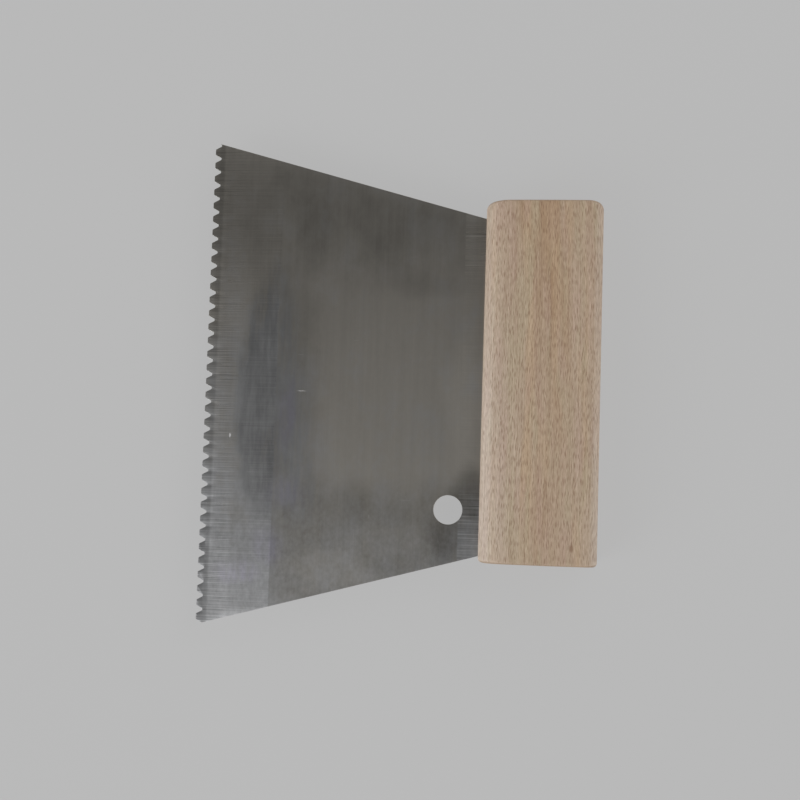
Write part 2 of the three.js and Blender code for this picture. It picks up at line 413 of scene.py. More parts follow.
def brad_profile(low_z, high_z):
    """Radius and height of a wire brad: domed head with a rounded rim, straight shank, tapered point."""
    neck = low_z + BRAD_HEAD_HEIGHT
    rim_start = BRAD_HEAD_RADIUS - HEAD_RIM
    rim = [math.pi / 2 * i / HEAD_RIM_STEPS for i in range(1, HEAD_RIM_STEPS + 1)]
    profile = [(0.0, low_z), (0.5 * BRAD_HEAD_RADIUS, low_z + HEAD_DOME_HALFWAY)]
    profile += [(rim_start, low_z + HEAD_DOME)]
    profile += [
        (rim_start + HEAD_RIM * math.sin(a), low_z + HEAD_DOME + HEAD_RIM * (1 - math.cos(a))) for a in rim
    ]
    profile += [(BRAD_HEAD_RADIUS, low_z + HEAD_RIM_TOP)]
    profile += [(BRAD_SHANK_RADIUS + NECK_FLARE, neck - NECK_FLARE)]
    profile += [(BRAD_SHANK_RADIUS, neck), (BRAD_SHANK_RADIUS, high_z - BRAD_POINT_LENGTH)]
    return profile + [(POINT_TAPER * BRAD_SHANK_RADIUS, high_z - POINT_TIP_LENGTH), (0.0, high_z)]


def make_brad(node, material):
    """A wire brad turned from its profile."""
    low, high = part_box(node)
    centre = box_middle(node)
    bm = bmesh.new()
    rings = []
    for radius, z in brad_profile(low.z, high.z):
        if radius == 0.0:
            rings.append([bm.verts.new((centre.x, centre.y, z))] * BRAD_SEGMENTS)
            continue
        flat = circle(centre.to_2d(), radius, BRAD_SEGMENTS)
        rings.append([bm.verts.new((p.x, p.y, z)) for p in flat])
    for lower, upper in zip(rings, rings[1:]):
        for i in range(BRAD_SEGMENTS):
            j = (i + 1) % BRAD_SEGMENTS
            corners = dict.fromkeys((lower[i], lower[j], upper[j], upper[i]))
            bm.faces.new(list(corners))
    bmesh.ops.recalc_face_normals(bm, faces=bm.faces)
    piece = add_object(node + "_wire", mesh_from(bm, node + "_wire"))
    finish_piece(piece, node, material, WIRE_CREASE)


# --- Materials ---

# Soft noise seldom leaves this span round its middle.
NOISE_SPAN = (0.3, 0.7)
NOISE_MIDDLE = 0.5
WANDER_DETAIL = 3.0


class Graph:
    """Short-hand for one material's nodes. Numbers are set on sockets, and sockets are joined."""

    def __init__(self, name):
        self.material = bpy.data.materials.new(name)
        self.material.use_nodes = True
        self.tree = self.material.node_tree
        self.tree.nodes.clear()
        self.shader = self.tree.nodes.new("ShaderNodeBsdfPrincipled")
        output = self.tree.nodes.new("ShaderNodeOutputMaterial")
        self.tree.links.new(self.shader.outputs["BSDF"], output.inputs["Surface"])
        self.place = self.tree.nodes.new("ShaderNodeTexCoord").outputs["Object"]

    def put(self, socket, value):
        if isinstance(value, bpy.types.NodeSocket):
            self.tree.links.new(value, socket)
        else:
            socket.default_value = value

    def math(self, operation, *values):
        node = self.tree.nodes.new("ShaderNodeMath")
        node.operation = operation
        for socket, value in zip(node.inputs, values):
            self.put(socket, value)
        return node.outputs[0]

    def add(self, *values):
        total = values[0]
        for value in values[1:]:
            total = self.math("ADD", total, value)
        return total

    def times(self, *values):
        total = values[0]
        for value in values[1:]:
            total = self.math("MULTIPLY", total, value)
        return total

    def rest_of(self, share):
        return self.math("SUBTRACT", 1.0, share)

    def vector(self, operation, *values):
        node = self.tree.nodes.new("ShaderNodeVectorMath")
        node.operation = operation
        for socket, value in zip(node.inputs, values):
            self.put(socket, value)
        return node.outputs[0]

    def split(self, vector):
        node = self.tree.nodes.new("ShaderNodeSeparateXYZ")
        self.put(node.inputs[0], vector)
        return node.outputs

    def join(self, x, y, z):
        node = self.tree.nodes.new("ShaderNodeCombineXYZ")
        for socket, value in zip(node.inputs, (x, y, z)):
            self.put(socket, value)
        return node.outputs[0]

    def facing(self):
        """How far the surface faces along X, Y and Z, either way: 1 is square on."""
        normal = self.tree.nodes.new("ShaderNodeNewGeometry").outputs["Normal"]
        return [self.math("ABSOLUTE", part) for part in self.split(normal)]

    def noise(self, vector, sizes, detail=2.0, roughness=0.5):
        """Soft noise with features of these sizes along the vector's three axes. 0 to 1, mostly near 0.5."""
        node = self.tree.nodes.new("ShaderNodeTexNoise")
        node.inputs["Scale"].default_value = 1.0
        node.inputs["Detail"].default_value = detail
        node.inputs["Roughness"].default_value = roughness
        self.put(node.inputs["Vector"], self.vector("MULTIPLY", vector, tuple(1 / s for s in sizes)))
        return node.outputs["Fac"]

    def swing(self, *noise_values):
        """The same noise, as a change either way from 0."""
        return self.math("SUBTRACT", self.noise(*noise_values), NOISE_MIDDLE)

    def cells(self, vector, sizes, seed, randomness):
        """Scattered points, one to a flat cell of these sizes: the nearest's distance and random number."""
        node = self.tree.nodes.new("ShaderNodeTexVoronoi")
        node.voronoi_dimensions = "2D"
        node.inputs["Scale"].default_value = 1.0
        node.inputs["Randomness"].default_value = randomness
        scaled = self.vector("MULTIPLY", vector, tuple(1 / s for s in sizes))
        self.put(node.inputs["Vector"], self.vector("ADD", scaled, (seed,) * 3))
        return node.outputs["Distance"], self.split(node.outputs["Color"])[0]

    def ramp(self, value, low, high, start=0.0, end=1.0):
        """A smooth change from start, where value is low, to end, where it is high."""
        node = self.tree.nodes.new("ShaderNodeMapRange")
        node.interpolation_type = "SMOOTHSTEP"
        for socket, number in zip(node.inputs, (value, low, high, start, end)):
            self.put(socket, number)
        return node.outputs[0]

    def wander(self, vector, size, amount):
        """The vector pushed about by soft noise, so that outlines measured from it wander."""
        node = self.tree.nodes.new("ShaderNodeTexNoise")
        node.inputs["Scale"].default_value = 1.0
        node.inputs["Detail"].default_value = WANDER_DETAIL
        self.put(node.inputs["Vector"], self.vector("MULTIPLY", vector, (1 / size,) * 3))
        push = self.vector("SUBTRACT", node.outputs["Color"], (NOISE_MIDDLE,) * 3)
        return self.vector("ADD", vector, self.vector("MULTIPLY", push, (2 * amount,) * 3))

    def spot(self, vector, centre, radii, softness):
        """1 inside an ellipse in X and Y, and 0 outside, across a soft edge."""
        away = self.vector("SUBTRACT", vector, (centre[0], centre[1], 0.0))
        scaled = self.vector("MULTIPLY", away, (1 / radii[0], 1 / radii[1], 0.0))
        node = self.tree.nodes.new("ShaderNodeVectorMath")
        node.operation = "LENGTH"
        self.put(node.inputs[0], scaled)
        return self.ramp(node.outputs["Value"], 1 + softness, 1 - softness)

    def mix(self, share, a, b, blend="MIX"):
        node = self.tree.nodes.new("ShaderNodeMix")
        node.data_type = "RGBA"
        node.blend_type = blend
        for socket, value in zip((node.inputs[0], node.inputs[6], node.inputs[7]), (share, a, b)):
            self.put(socket, value)
        return node.outputs[2]

    def bump(self, height, distance, strength=1.0):
        node = self.tree.nodes.new("ShaderNodeBump")
        node.inputs["Strength"].default_value = strength
        node.inputs["Distance"].default_value = distance
        self.put(node.inputs["Height"], height)
        return node.outputs["Normal"]

    def finish(self, colour, roughness, normal, **constants):
        self.put(self.shader.inputs["Base Color"], colour)
        self.put(self.shader.inputs["Roughness"], roughness)
        self.put(self.shader.inputs["Normal"], normal)
        for name, value in constants.items():
            self.shader.inputs[name.replace("_", " ")].default_value = value
        return self.material


def rgb(red, green, blue):
    return (red, green, blue, 1.0)


def in_mm(*values):
    return tuple(value * MM for value in values)


# In the values below, a noise pattern is its feature sizes, detail and roughness. A ramp is a low and a high
# place or amount, and then the results there, where they aren't 0 and 1.

# --- Beech ---

# The log's heart lies below and behind the handle, so the top shows broad bands and the ends show arcs.
# A turn about the heart counts as a length across the grain at TURN_RADIUS.
HEART_X = 8 * MM
HEART_Z = -85 * MM
TURN_RADIUS = 100 * MM
GRAIN_DRIFT = ((60 * MM, 90 * MM, 60 * MM), 1)
GRAIN_DRIFT_AMOUNT = 4 * MM

BEECH_LIGHT = rgb(0.540, 0.415, 0.306)
BEECH_BROWN = rgb(0.43, 0.278, 0.165)
BEECH_PINK = rgb(0.525, 0.365, 0.285)
BEECH_ORANGE = rgb(0.545, 0.395, 0.262)
BEECH_OLIVE = rgb(0.515, 0.415, 0.285)
BEECH_FLECK = rgb(0.22, 0.110, 0.052)
BEECH_END = rgb(0.36, 0.25, 0.165)
# Painted sheen: a pale, whitish wood colour.
BEECH_SHEEN = rgb(0.70, 0.60, 0.52)

# Patterns in the grain's own axes: across it, outwards from the heart, and along it.
RINGS = ((14 * MM, 2.4 * MM, 160 * MM), 2)
RINGS_BROWN = (0.45, 0.75, 0.0, 0.30)
FIBRE = ((0.26 * MM, 0.26 * MM, 50 * MM), 2, 0.7)
FIBRE_SHADE = (0.85, 1.12)
WEAVE = ((0.20 * MM, 0.20 * MM, 3 * MM), 2, 0.7)
WEAVE_SHADE = (-0.19, 0.19)
# Dark fibres are warmer, so red follows the shade less than green does, and blue more.
RED_SHADE = 0.8
BLUE_SHADE = 1.15

# Darker bands along the top: middle and half width, where along Y the band begins and is full, and strength.
# Places and widths are in mm. A band that is full beyond the handle's -Y end runs all along it.
BEECH_BANDS = (
    ((7.2, 5.6), (-60, 35), 0.52),
    ((7.0, 3.4), (15, 45), 0.38),
    ((1.5, 12), (-300, -200), 0.18),
    ((-2.2, 3.4), (10, 60), 0.30),
    ((1.8, 9), (10, 65), 0.30),
    ((-2.5, 4.5), (-10, -50), 0.22),
)
# One reddish vein lies over the streaks.
BEECH_VEIN = ((7.0, 4.0), (8, 45), 0.34)
# How far bands lean across for each length along, and the share of the half width that is fully dark.
BAND_LEAN = -0.055
BAND_CORE = 0.15
# The whole handle is a little browner towards +Y.
NORTH_BROWN = (-20 * MM, 64 * MM, 0.0, 0.22)
# Coloured streaks along the grain: colour, width, length, where their pattern starts, and greatest share.
BEECH_STREAKS = (
    (BEECH_ORANGE, 5.0 * MM, 60 * MM, 0.1, 0.85),
    (BEECH_OLIVE, 3.4 * MM, 30 * MM, 0.2, 0.65),
    (BEECH_PINK, 3.0 * MM, 26 * MM, 0.3, 0.40),
)
STREAK_DEPTH = 3 * MM
STREAK_DETAIL = 1
STREAK_SPAN = (0.46, 0.70)

# Painted sheen pales the wood where a face turns to the front or back, most on the front and towards -Y.
# Painted sheen also pales the top beside the blade.
SHEEN_TURN = (0.0, 0.75)
SHEEN_FRONT = (0.0, 0.8 * HANDLE_FRONT, 0.85, 1.0)
SHEEN_ALONG = (60 * MM, -60 * MM, 0.3, 0.58)
TOP_SHEEN_ACROSS = (-8 * MM, -17 * MM)
TOP_SHEEN_ALONG = (60 * MM, -60 * MM, 0.10, 0.36)

# Two sets of dashes: width and length in mm of the cell that holds one dash, and where the pattern starts.
# A dash is darkest at its cell's point, and its darkness is random.
DASHES = (
    ((0.56, 5.2), 0.0),
    ((0.48, 4.4), 7.3),
)
DASH_SCATTER = 0.8
DASH_REACH = (0.07, 0.28, 1.0, 0.0)
DASH_CHANCE = (0.05, 0.95)
DASH_SHARE = 0.66
# How squarely a face has to look along X to count as the front or back, and along Y to show end grain.
SIDE_FACE = (0.6, 0.8)
END_FACE = (0.2, 0.8)
END_SHARE = 0.75
KNOT_PLACE = (11.6 * MM, -57.4 * MM)
KNOT_RADII = (0.7 * MM, 1.1 * MM)
KNOT_WANDER = (1.5 * MM, 0.4 * MM)
KNOT_SOFTNESS = 0.5
KNOT_SHARE = 0.6

BEECH_GLOSS = (0.46, 0.58)
BEECH_RELIEF = 0.05 * MM
FIBRE_RELIEF = 0.5
WEAVE_RELIEF = 0.4
DASH_RELIEF = -0.6


def beech_axes(g, x, y, z):
    """Places in the wood: across the drifting grain, round the heart, outwards from it, and as a vector."""
    across = g.add(x, g.times(g.swing(g.place, *GRAIN_DRIFT), GRAIN_DRIFT_AMOUNT))
    from_heart_x = g.math("SUBTRACT", across, HEART_X)
    from_heart_z = g.math("SUBTRACT", z, HEART_Z)
    squares = g.add(g.times(from_heart_x, from_heart_x), g.times(from_heart_z, from_heart_z))
    outwards = g.math("SQRT", squares)
    around = g.times(g.math("ARCTAN2", from_heart_x, from_heart_z), TURN_RADIUS)
    return across, around, outwards, g.join(around, outwards, y)


def beech_band(g, across, y, band):
    """How brown one band makes the wood: most along the band's middle."""
    (middle, half_width), along, strength = band
    away = g.math("SUBTRACT", across, g.add(middle * MM, g.times(y, BAND_LEAN)))
    profile = g.ramp(g.math("ABSOLUTE", away), BAND_CORE * half_width * MM, half_width * MM, 1.0, 0.0)
    return g.times(profile, g.ramp(y, *in_mm(*along)), strength)


def beech_colours(g, across, y, grain):
    """The wood's broad colours: growth rings, bands, coloured streaks and the vein."""
    brown = g.ramp(g.noise(grain, *RINGS), *RINGS_BROWN)
    for band in BEECH_BANDS:
        brown = g.add(brown, beech_band(g, across, y, band))
    brown = g.math("MINIMUM", g.add(brown, g.ramp(y, *NORTH_BROWN)), 1.0)
    colour = g.mix(brown, BEECH_LIGHT, BEECH_BROWN)
    for streak_colour, width, length, start, share in BEECH_STREAKS:
        moved = g.vector("ADD", grain, (start, 0.0, start))
        drawn = g.noise(moved, (width, STREAK_DEPTH, length), STREAK_DETAIL)
        colour = g.mix(g.ramp(drawn, *STREAK_SPAN, 0.0, share), colour, streak_colour)
    return g.mix(beech_band(g, across, y, BEECH_VEIN), colour, BEECH_BROWN)


def beech_painted_sheen(g, x, y, facing_x):
    """How far painted sheen pales the wood: where faces turn to the front or back, and on the top beside the
    blade.
    """
    turned_sheen = g.times(g.ramp(facing_x, *SHEEN_TURN), g.ramp(x, *SHEEN_FRONT), g.ramp(y, *SHEEN_ALONG))
    top_sheen = g.times(g.ramp(x, *TOP_SHEEN_ACROSS), g.ramp(y, *TOP_SHEEN_ALONG))
    return g.math("MAXIMUM", turned_sheen, top_sheen)


def beech_shade(g, fibre, weave):
    """Light and dark fibres, as a colour that the wood's colour is multiplied by."""
    shade = g.add(g.ramp(fibre, *NOISE_SPAN, *FIBRE_SHADE), g.ramp(weave, *NOISE_SPAN, *WEAVE_SHADE))
    red = g.add(1 - RED_SHADE, g.times(shade, RED_SHADE))
    blue = g.add(1 - BLUE_SHADE, g.times(shade, BLUE_SHADE))
    return g.join(red, shade, blue)


def ray_dashes(g, across, y):
    """The wood's rays where a face cuts them: short dark dashes along the grain."""
    dashes = 0.0
    for sizes, start in DASHES:
        distance, chance = g.cells(g.join(across, y, 0.0), (*in_mm(*sizes), 1.0), start, DASH_SCATTER)
        dash = g.times(g.ramp(distance, *DASH_REACH), g.ramp(chance, *DASH_CHANCE))
        dashes = g.math("MAXIMUM", dashes, dash)
    return dashes


def beech():
    g = Graph("beech")
    x, y, z = g.split(g.place)
    facing_x, facing_y, _ = g.facing()
    across, around, outwards, grain = beech_axes(g, x, y, z)
    fibre = g.noise(grain, *FIBRE)
    weave = g.noise(grain, *WEAVE)
    side = g.ramp(facing_x, *SIDE_FACE)
    on_top = g.times(ray_dashes(g, around, y), g.rest_of(side))
    dashes = g.add(on_top, g.times(ray_dashes(g, outwards, y), side))

    # Painted sheen on the turned faces and on the top beside the blade.
    colour = g.mix(beech_painted_sheen(g, x, y, facing_x), beech_colours(g, across, y, grain), BEECH_SHEEN)
    colour = g.mix(1.0, colour, beech_shade(g, fibre, weave), "MULTIPLY")
    colour = g.mix(g.times(g.ramp(facing_y, *END_FACE), END_SHARE), colour, BEECH_END)
    colour = g.mix(g.times(dashes, DASH_SHARE), colour, BEECH_FLECK)
    knot = g.spot(g.wander(g.place, *KNOT_WANDER), KNOT_PLACE, KNOT_RADII, KNOT_SOFTNESS)
    colour = g.mix(g.times(knot, KNOT_SHARE), colour, BEECH_FLECK)

    height = g.add(g.times(fibre, FIBRE_RELIEF), g.times(weave, WEAVE_RELIEF), g.times(dashes, DASH_RELIEF))
    roughness = g.ramp(fibre, *NOISE_SPAN, *BEECH_GLOSS)
    return g.finish(colour, roughness, g.bump(height, BEECH_RELIEF), Specular_IOR_Level=0.5)


# --- Blade steel ---

STEEL_WARM = rgb(0.580, 0.549, 0.495)
STEEL_COOL = rgb(0.545, 0.547, 0.552)
STEEL_VIOLET = rgb(0.560, 0.545, 0.615)
NICK_BRIGHT = rgb(0.90, 0.90, 0.90)
STEEL_ROUGHNESS = 0.345
STEEL_RELIEF = 0.006 * MM

# Soft marks and the stain are measured from a place that wanders, so that their outlines aren't ellipses.
MARK_WANDER = (14 * MM, 6 * MM)
# The sheet is cleanest in the middle: where that begins across X, and where it ends towards +Y and -Y.
CLEAN_X = (-92 * MM, -71 * MM)
CLEAN_NORTH = (47 * MM, 27 * MM)
CLEAN_SOUTH = (-48 * MM, -31 * MM)
SOUTHERN = (-20 * MM, -70 * MM)

# Scratches left by grinding across the band behind the teeth, as bright and dark lines that come and go.
GROUND_EDGE = 0.3 * MM
ACROSS_LINES = ((60 * MM, 0.44 * MM, 5 * MM), 2, 0.65)
ACROSS_BREAKS = ((13 * MM, 1.2 * MM, 5 * MM), 2)
ACROSS_BROAD = ((40 * MM, 1.7 * MM, 5 * MM), 2)
BRIGHT_LINES = (0.50, 0.68, 0.0, 0.72)
DARK_LINES = (0.48, 0.30, 0.0, -0.44)
LINES_BROKEN = (0.32, 0.62, 0.35, 1.0)
LINES_BROAD = 0.45
LINES_BEHIND_TIPS = (7 * MM, 14 * MM, 1.25, 0.26)
LINES_IN_MIDDLE = (60 * MM, 35 * MM, 0.85, 1.0)
# A strip beside the handle was rubbed across when the excess glue came off, least in its middle.
RUBBED_STRIP = 7.7 * MM
RUBBED_EDGE = 0.4 * MM
RUBBED_ENDS = (36 * MM, 46 * MM, 0.1, 1.0)
RUBBED_LINES = 0.75
RUBBED_LIGHT = 0.10
# Fine and wide lines along the rolling direction.
ROLLED = ((0.5 * MM, 34 * MM, 5 * MM), 3, 0.65)
ROLLED_WIDE = ((2.5 * MM, 70 * MM, 9 * MM), 2)
ACROSS_RELIEF = 1.2
ROLLED_RELIEF = 0.35

# A darker crescent on the sheet. It ends softly towards the teeth, and fades into the sheet.
CRESCENT_CENTRE = (-90 * MM, -9 * MM)
CRESCENT_RADII = (18.9 * MM, 55 * MM)
CRESCENT_SOFTNESS = 0.12
CRESCENT_WANDER = (12 * MM, 3 * MM)
CRESCENT_STREAKS = 9 * MM
CRESCENT_FADE = (-78 * MM, -92 * MM)
CRESCENT_LEAN = 0.17
CRESCENT_NORTH = (40 * MM, 22 * MM, 0.62, 1.0)
CRESCENT_SOUTH = (-57 * MM, -36 * MM, 0.12, 1.0)
FILM = ((2 * MM, 14 * MM, 9 * MM), 4, 0.65)
FILM_SHARE = (0.35, 0.6, 0.62, 1.0)

# The tone of the sheet, and of the ground band: from +Y to the middle, towards -Y, and at the teeth. Besides
# the steel's own tone, this holds painted reflection: darker towards +Y, and the band lighter towards -Y.
SHEET_TONE = 0.75
SHEET_CLEAN = 0.27
SHEET_UNDER_CRESCENT = 0.10
SHEET_NORTH = (42 * MM, 62 * MM, 1.0, 0.91)
BAND_TONE = (55 * MM, 18 * MM, 0.70, 0.92)
BAND_SOUTH = (-30 * MM, -80 * MM, -0.04, 0.07)
BAND_UNDER_CRESCENT = 0.32
TEETH_ZONE = (3.2 * MM, 4.3 * MM)
TEETH_TONE = (20 * MM, -60 * MM, 0.78, 0.74)
TEETH_FADE = 9 * MM
TEETH_SOUTH = (-35 * MM, -65 * MM, 1.0, 0.84)
SIDE_LIGHT = (0.0, 5 * MM, 1.08, 1.0)

# Uneven tone everywhere, and how much more of it there is where the sheet is dull or far towards -Y.
BLOTCH = ((9 * MM, 15 * MM, 20 * MM), 4, 0.6)
BLOTCH_TONE = (0.12, 0.42)
MOTTLE = ((1.6 * MM, 2.2 * MM, 5 * MM), 4, 0.65)
MOTTLE_TONE = (0.10, 0.05, 0.48)
ROLLING_TONE = (0.22, 0.14)

# How far each thing turns the warm sheet cool.
COOL_CRESCENT = 1.5
COOL_GROUND = (40 * MM, 0.0, 0.0, 0.6)
COOL_SOUTHERN = 0.60
COOL_BLOTCH = 1.8
COOL_MOTTLE = 0.5
COOL_RUBBED = 0.5
# Thin films that show a faint violet tint: place and radii in mm.
TINTED = (
    ((-90.5, -13), (3, 10)),
    ((-91, -41), (6, 6)),
    ((-96, -61), (5, 6)),
    ((-107, -70), (6, 4)),
)
TINTED_SOFTNESS = 0.7
TINTED_FILM = (0.35, 0.65, 0.35, 0.9)

# Soft marks of handling, and painted shade and reflection that the lamps don't give: place and radii in mm,
# and the change of tone in the middle.
SMUDGES_AND_PAINTED_SHADE = (
    ((-82, 55), (7, 11), -0.13),
    ((-55, 46), (6, 13), -0.10),
    ((-40, 34), (13, 4.5), -0.10),
    ((-66, -43), (5, 9), -0.10),
    # Painted shade beside the handle, to the right of the hang hole.
    ((-23, -41), (7, 11), -0.42),
    ((-32, -57), (6, 8), -0.28),
    ((-93, -39), (6, 6), 0.08),
    ((-107, -70), (5, 3.5), 0.09),
    ((-73, -68), (14, 6), 0.22),
    ((-54, -58), (14, 6), 0.12),
    ((-27, -7), (6, 22), 0.13),
    ((-84, -5), (6, 18), -0.06),
    ((-106, 80), (9, 8), 0.20),
    ((-61, -71), (6, 4), 0.08),
    ((-38, -38), (4, 6), -0.07),
    ((-52, 8), (18, 20), 0.04),
    ((-42, 57), (10, 9), -0.06),
    ((-102, -10), (4, 6), -0.05),
    ((-102, -64), (5, 9), -0.06),
)
SMUDGE_AND_SHADE_SOFTNESS = 0.6
# Small bright nicks and scratches: place and half lengths along X and Y in mm, and shine.
NICKS = (
    ((-111.7, -21.4), (0.3, 0.7), 1.6),
    ((-85.8, -4.7), (1.5, 0.12), 1.3),
    ((-86.6, 8.5), (1.0, 0.08), 0.5),
    ((-47.3, -42.8), (2.2, 0.08), 0.5),
    ((-59.8, -49.0), (0.12, 0.6), 0.5),
    ((-66.5, 14.0), (0.9, 0.07), 0.5),
    ((-24.4, 52.3), (3.6, 0.4), 0.22),
    ((-25.0, 41.9), (3.0, 0.3), 0.12),
    ((-25.0, -55.0), (2.6, 0.2), 0.22),
    ((-22.2, -57.5), (0.7, 5.0), 0.12),
    ((-107.5, -69.2), (2.2, 0.35), 0.22),
    ((-109.0, -71.0), (1.6, 0.25), 0.20),
)
NICK_SOFTNESS = 0.5
NICK_SHARE = 0.5
NICK_RELIEF = -1.5
ROUGHER_DULL = 0.03
ROUGHER_STREAK = -0.12
ROUGHER_NICK = 0.1


def steel_zones(g, x, y):
    """Shares of the ground band behind the teeth and of the rubbed strip beside the handle."""
    ground_end = TIP_X + GRIND_LENGTH
    ground = g.ramp(x, ground_end + GROUND_EDGE, ground_end - GROUND_EDGE)
    strip = HANDLE_FRONT - RUBBED_STRIP
    rubbed = g.ramp(x, strip, strip + RUBBED_EDGE)
    return ground, g.times(rubbed, g.ramp(g.math("ABSOLUTE", y), *RUBBED_ENDS))


def steel_lines(g, behind_tips, y, ground, rubbed):
    """Lines across the ground band and the rubbed strip, lines along the rolling, and their relief."""
    across = g.noise(g.place, *ACROSS_LINES)
    broken = g.ramp(g.noise(g.place, *ACROSS_BREAKS), *LINES_BROKEN)
    lines = g.add(g.ramp(across, *BRIGHT_LINES), g.ramp(across, *DARK_LINES))
    streak = g.add(g.times(lines, broken), g.times(g.swing(g.place, *ACROSS_BROAD), LINES_BROAD))
    fading = g.ramp(behind_tips, *LINES_BEHIND_TIPS)
    middle = g.ramp(g.math("ABSOLUTE", y), *LINES_IN_MIDDLE)
    crosswise = g.add(g.times(ground, fading, middle), g.times(rubbed, RUBBED_LINES))
    rolled = g.noise(g.place, *ROLLED)
    mean = g.times(g.add(rolled, g.noise(g.place, *ROLLED_WIDE)), 0.5)
    rolling = g.math("SUBTRACT", mean, NOISE_MIDDLE)
    height = g.add(g.times(g.add(ground, rubbed), across, ACROSS_RELIEF), g.times(rolled, ROLLED_RELIEF))
    return g.times(streak, crosswise), rolling, height


def steel_dark_crescent(g, x, y, streak, film):
    """The darker crescent, drawn out along the grinding lines."""
    drawn_out = g.join(g.times(streak, CRESCENT_STREAKS), 0.0, 0.0)
    streaky = g.vector("ADD", g.wander(g.place, *CRESCENT_WANDER), drawn_out)
    outline = g.spot(streaky, CRESCENT_CENTRE, CRESCENT_RADII, CRESCENT_SOFTNESS)
    fade = g.ramp(g.add(x, g.times(y, CRESCENT_LEAN)), *CRESCENT_FADE)
    ends = g.times(g.ramp(y, *CRESCENT_NORTH), g.ramp(y, *CRESCENT_SOUTH))
    return g.times(outline, fade, ends, g.ramp(film, *FILM_SHARE))


def steel_smudges_and_shade(g, pushed):
    """All the soft marks of handling, and the painted shade and reflection, as one change of tone."""
    smudges_and_shade = 0.0
    for centre, radii, change in SMUDGES_AND_PAINTED_SHADE:
        mark = g.spot(pushed, in_mm(*centre), in_mm(*radii), SMUDGE_AND_SHADE_SOFTNESS)
        smudges_and_shade = g.add(smudges_and_shade, g.times(mark, change))
    return smudges_and_shade


def steel_tinted(g, pushed):
    tinted = 0.0
    for centre, radii in TINTED:
        mark = g.spot(pushed, in_mm(*centre), in_mm(*radii), TINTED_SOFTNESS)
        tinted = g.math("MAXIMUM", tinted, mark)
    return tinted


def steel_nicks(g):
    nicks = 0.0
    for centre, half_lengths, shine in NICKS:
        mark = g.spot(g.place, in_mm(*centre), in_mm(*half_lengths), NICK_SOFTNESS)
        nicks = g.math("MAXIMUM", nicks, g.times(mark, shine))
    return nicks


def steel_tone(g, x, y, ground, clean, dark_crescent):
    """The broad tone of the sheet and of its ground band, with painted reflection in it, a little lighter
    along the slanted sides.
    """
    behind_tips = g.math("SUBTRACT", x, TIP_X)
    sheet = g.add(SHEET_TONE, g.times(clean, SHEET_CLEAN), g.times(dark_crescent, -SHEET_UNDER_CRESCENT))
    sheet = g.times(sheet, g.ramp(y, *SHEET_NORTH))
    band = g.add(g.ramp(y, *BAND_TONE), g.ramp(y, *BAND_SOUTH))
    band = g.times(band, g.rest_of(g.times(dark_crescent, BAND_UNDER_CRESCENT)))
    band = g.times(band, g.ramp(behind_tips, *TEETH_ZONE, g.ramp(y, *TEETH_TONE), 1.0))
    band = g.times(band, g.ramp(behind_tips, 0.0, TEETH_FADE, g.ramp(y, *TEETH_SOUTH), 1.0))
    tone = g.add(g.times(sheet, g.rest_of(ground)), g.times(band, ground))
    half_width = g.add(BLADE_HALF_AT_HANDLE, g.times(g.math("SUBTRACT", HANDLE_FRONT, x), BLADE_TAPER))
    from_middle = g.math("ABSOLUTE", g.math("SUBTRACT", y, BLADE_SIDE_SHIFT))
    return g.times(tone, g.ramp(g.math("SUBTRACT", half_width, from_middle), *SIDE_LIGHT))


def more_where(g, everywhere, share, extra):
    """An amount that is found everywhere, and the extra amount in proportion to a share."""
    return g.add(everywhere, g.times(share, extra))


def blade_steel():
    g = Graph("blade_steel")
    x, y, _ = g.split(g.place)
    pushed = g.wander(g.place, *MARK_WANDER)
    push_x, push_y, _ = g.split(pushed)
    ground, rubbed = steel_zones(g, x, y)
    streak, rolling, height = steel_lines(g, g.math("SUBTRACT", x, TIP_X), y, ground, rubbed)
    clean = g.times(g.ramp(push_x, *CLEAN_X), g.ramp(push_y, *CLEAN_NORTH), g.ramp(push_y, *CLEAN_SOUTH))
    dull = g.rest_of(clean)
    southern = g.ramp(y, *SOUTHERN)
    film = g.noise(g.place, *FILM)
    dark_crescent = steel_dark_crescent(g, x, y, streak, film)
    nicks = steel_nicks(g)

    blotch = g.swing(g.place, *BLOTCH)
    mottle = g.swing(g.place, *MOTTLE)
    mottled, mottled_dull, mottled_south = MOTTLE_TONE
    mottle_dull = more_where(g, mottled_dull, southern, mottled_south)
    uneven = g.add(
        1.0,
        g.times(blotch, more_where(g, BLOTCH_TONE[0], dull, BLOTCH_TONE[1])),
        g.times(rolling, more_where(g, ROLLING_TONE[0], dull, ROLLING_TONE[1])),
        g.times(mottle, more_where(g, mottled, dull, mottle_dull)),
        streak,
        # Handling marks, with painted shade and reflection.
        steel_smudges_and_shade(g, pushed),
        g.times(rubbed, RUBBED_LIGHT),
    )
    tone = g.times(steel_tone(g, x, y, ground, clean, dark_crescent), uneven)

    cool = g.add(
        g.times(dark_crescent, film, COOL_CRESCENT),
        g.times(ground, g.ramp(y, *COOL_GROUND)),
        g.times(southern, COOL_SOUTHERN),
        g.times(blotch, COOL_BLOTCH),
        g.times(mottle, COOL_MOTTLE),
        g.times(rubbed, southern, COOL_RUBBED),
    )
    cool = g.math("MINIMUM", g.math("MAXIMUM", cool, 0.0), 1.0)
    violet = g.times(steel_tinted(g, pushed), g.ramp(film, *TINTED_FILM))
    colour = g.mix(violet, g.mix(cool, STEEL_WARM, STEEL_COOL), STEEL_VIOLET)
    colour = g.mix(1.0, colour, g.join(tone, tone, tone), "MULTIPLY")
    colour = g.mix(g.times(nicks, NICK_SHARE), colour, NICK_BRIGHT)

    roughness = g.add(
        STEEL_ROUGHNESS,
        g.times(dull, ROUGHER_DULL),
        g.times(streak, ROUGHER_STREAK),
        g.times(nicks, ROUGHER_NICK),
    )
    height = g.add(height, g.times(nicks, NICK_RELIEF))
    return g.finish(colour, roughness, g.bump(height, STEEL_RELIEF), Metallic=1.0)


# --- Glue and wire ---

